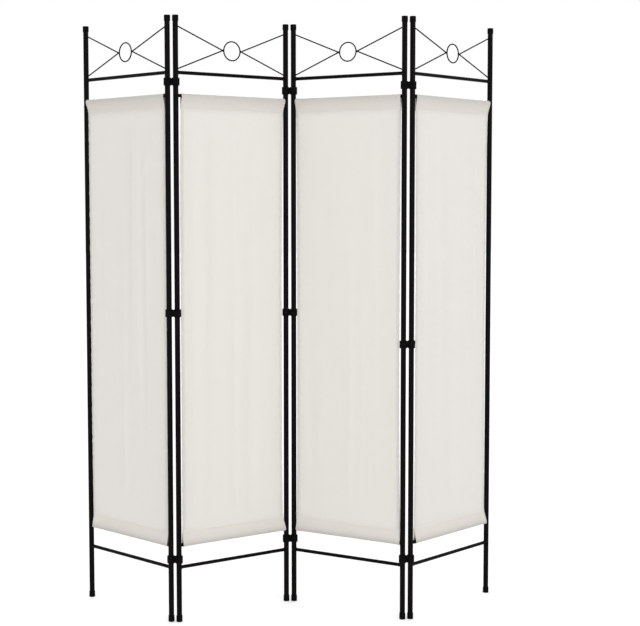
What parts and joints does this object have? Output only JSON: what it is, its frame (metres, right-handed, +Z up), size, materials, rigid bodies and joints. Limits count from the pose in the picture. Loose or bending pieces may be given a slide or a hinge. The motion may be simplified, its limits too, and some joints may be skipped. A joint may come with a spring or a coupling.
{
  "type": "folding room divider screen",
  "caption": "Freestanding folding screen: tubular steel frames with ring crests and stretched cream fabric, joined by figure-eight clips, zigzagging to stand and folding flat.",
  "frame": {"origin": "on the floor, under the middle of the standing screen's outline in plan", "axes": "+X along the line of the screen to the viewer's right, -Y towards the viewer in front, +Z up"},
  "size_m": [1.281, 0.2888, 1.8],
  "materials": {
    "black_steel": "satin black powder coat",
    "black_plastic": "moulded black plastic, fine grain",
    "cream_fabric": "plain-woven off-white polyester"
  },
  "bodies": {
    "panel_1": {"panel_1_left_post": "black_steel", "panel_1_right_post": "black_steel", "panel_1_top_rail": "black_steel", "panel_1_bottom_rail": "black_steel", "panel_1_crest_rods": "black_steel", "panel_1_crest_ring": "black_steel", "panel_1_post_caps": "black_plastic", "panel_1_feet": "black_plastic", "panel_1_upper_fabric_rod": "black_steel", "panel_1_lower_fabric_rod": "black_steel", "panel_1_rod_end_plugs": "black_plastic", "panel_1_fabric": "cream_fabric"},
    "panel_2": {"panel_2_left_post": "black_steel", "panel_2_right_post": "black_steel", "panel_2_top_rail": "black_steel", "panel_2_bottom_rail": "black_steel", "panel_2_crest_rods": "black_steel", "panel_2_crest_ring": "black_steel", "panel_2_post_caps": "black_plastic", "panel_2_feet": "black_plastic", "panel_2_upper_fabric_rod": "black_steel", "panel_2_lower_fabric_rod": "black_steel", "panel_2_rod_end_plugs": "black_plastic", "panel_2_fabric": "cream_fabric"},
    "panel_3": {"panel_3_left_post": "black_steel", "panel_3_right_post": "black_steel", "panel_3_top_rail": "black_steel", "panel_3_bottom_rail": "black_steel", "panel_3_crest_rods": "black_steel", "panel_3_crest_ring": "black_steel", "panel_3_post_caps": "black_plastic", "panel_3_feet": "black_plastic", "panel_3_upper_fabric_rod": "black_steel", "panel_3_lower_fabric_rod": "black_steel", "panel_3_rod_end_plugs": "black_plastic", "panel_3_fabric": "cream_fabric"},
    "panel_4": {"panel_4_left_post": "black_steel", "panel_4_right_post": "black_steel", "panel_4_top_rail": "black_steel", "panel_4_bottom_rail": "black_steel", "panel_4_crest_rods": "black_steel", "panel_4_crest_ring": "black_steel", "panel_4_post_caps": "black_plastic", "panel_4_feet": "black_plastic", "panel_4_upper_fabric_rod": "black_steel", "panel_4_lower_fabric_rod": "black_steel", "panel_4_rod_end_plugs": "black_plastic", "panel_4_fabric": "cream_fabric"},
    "clips_12": {"clip_12_bottom": "black_plastic", "clip_12_middle": "black_plastic", "clip_12_top": "black_plastic"},
    "clips_23": {"clip_23_bottom": "black_plastic", "clip_23_middle": "black_plastic", "clip_23_top": "black_plastic"},
    "clips_34": {"clip_34_bottom": "black_plastic", "clip_34_middle": "black_plastic", "clip_34_top": "black_plastic"}
  },
  "joints": [
    {"name": "panel_2_in_clips_12", "type": "hinge", "parent": "panel_2", "child": "clips_12", "pos_m": [-0.33536, -0.13287, 0], "axis": [0, 0, -1], "range_deg": [-38, 52]},
    {"name": "panel_1_in_clips_12", "type": "hinge", "parent": "clips_12", "child": "panel_1", "pos_m": [-0.35931, -0.13023, 0], "axis": [0, 0, -1], "range_deg": [-38, 52]},
    {"name": "panel_2_in_clips_23", "type": "hinge", "parent": "panel_2", "child": "clips_23", "pos_m": [-0.01205, 0.06681, 0], "axis": [0, 0, -1], "range_deg": [-31.7, 58.3]},
    {"name": "panel_3_in_clips_23", "type": "hinge", "parent": "clips_23", "child": "panel_3", "pos_m": [0.01205, 0.06681, 0], "axis": [0, 0, -1], "range_deg": [-31.7, 58.3]},
    {"name": "panel_3_in_clips_34", "type": "hinge", "parent": "panel_3", "child": "clips_34", "pos_m": [0.33536, -0.13287, 0], "axis": [0, 0, 1], "range_deg": [-38, 52]},
    {"name": "panel_4_in_clips_34", "type": "hinge", "parent": "clips_34", "child": "panel_4", "pos_m": [0.35931, -0.13023, 0], "axis": [0, 0, 1], "range_deg": [-38, 52]}
  ]
}
